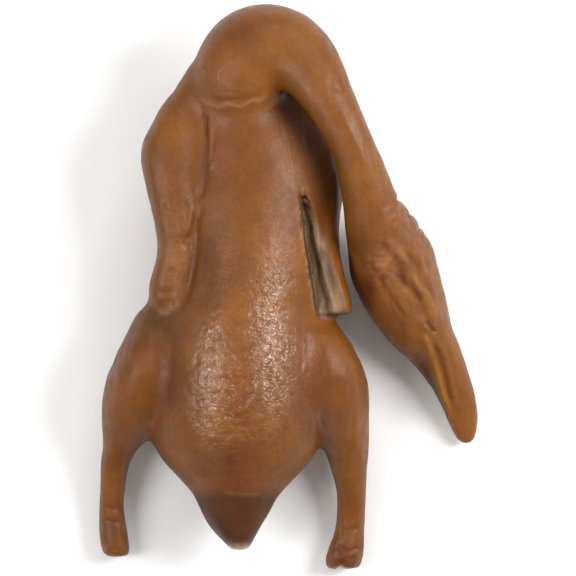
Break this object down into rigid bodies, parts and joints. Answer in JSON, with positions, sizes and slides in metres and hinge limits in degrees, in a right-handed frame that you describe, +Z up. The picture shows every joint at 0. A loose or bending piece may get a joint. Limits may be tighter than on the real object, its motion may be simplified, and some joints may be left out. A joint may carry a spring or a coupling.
{
  "type": "roast duck replica",
  "caption": "Moulded replica of a dressed roast duck lying on its breast, with a folded neck that swings out and wings and legs that lift on pegs.",
  "frame": {"origin": "centre of the object's outline seen from above, on the surface that the breast rests on", "axes": "+Z up out of the back, +Y towards the neck end, +X towards the duck's right side, where the head lies"},
  "size_m": [0.263, 0.3894, 0.1115],
  "materials": {
    "roast_skin": "satin gloss, soft moulded vinyl",
    "dark_skin": "satin gloss, darker brown",
    "foam": "open-cell polyurethane foam",
    "steel": "zinc plated",
    "nylon": "natural nylon",
    "plywood": "raw birch plywood"
  },
  "bodies": {
    "torso": {"back_shell": "roast_skin", "breast_shell": "roast_skin", "tail_casting": "dark_skin", "foam_core": "foam", "ballast_plate": "steel", "ballast_screws": "steel", "seam_screws": "steel", "neck_bulkhead": "plywood", "neck_bracket": "steel", "neck_nut": "steel", "left_wing_bush": "nylon", "right_wing_bush": "nylon", "left_hip_bush": "nylon", "right_hip_bush": "nylon"},
    "left_wing": {"left_wing_casting": "roast_skin", "left_wing_peg": "nylon", "left_wing_clip": "steel"},
    "right_wing": {"right_wing_casting": "roast_skin", "right_wing_peg": "nylon", "right_wing_clip": "steel"},
    "left_leg": {"left_leg_casting": "roast_skin", "left_hip_peg": "nylon", "left_hip_clip": "steel"},
    "right_leg": {"right_leg_casting": "roast_skin", "right_hip_peg": "nylon", "right_hip_clip": "steel"},
    "neck_lower": {"neck_lower_casting": "roast_skin", "neck_lower_link": "steel", "neck_root_pin": "steel"},
    "neck_upper": {"neck_upper_casting": "roast_skin", "neck_upper_link": "steel", "neck_bend_pin": "steel"},
    "head": {"head_casting": "roast_skin", "lower_bill": "dark_skin", "head_link": "steel", "head_pin": "steel"}
  },
  "joints": [
    {"name": "left_wing_lift", "type": "hinge", "parent": "torso", "child": "left_wing", "pos_m": [-0.06, 0.098, 0.065], "axis": [-1, 0, 0], "range_deg": [0, 60]},
    {"name": "right_wing_lift", "type": "hinge", "parent": "torso", "child": "right_wing", "pos_m": [0.012, 0.098, 0.054], "axis": [-1, 0, 0], "range_deg": [0, 18]},
    {"name": "left_leg_lift", "type": "hinge", "parent": "torso", "child": "left_leg", "pos_m": [-0.094, -0.064, 0.048], "axis": [-1, 0, 0], "range_deg": [0, 30]},
    {"name": "right_leg_lift", "type": "hinge", "parent": "torso", "child": "right_leg", "pos_m": [0.0235, -0.064, 0.048], "axis": [-1, 0, 0], "range_deg": [0, 30]},
    {"name": "neck_root_turn", "type": "hinge", "parent": "torso", "child": "neck_lower", "pos_m": [-0.034, 0.136, 0.074], "axis": [0, 0, 1], "range_deg": [0, 25]},
    {"name": "neck_bend_turn", "type": "hinge", "parent": "neck_lower", "child": "neck_upper", "pos_m": [0.004, 0.167, 0.08], "axis": [0, 0, 1], "range_deg": [0, 60]},
    {"name": "head_turn", "type": "hinge", "parent": "neck_upper", "child": "head", "pos_m": [0.061, 0.042, 0.06], "axis": [0, 0, 1], "range_deg": [-10, 35]}
  ]
}
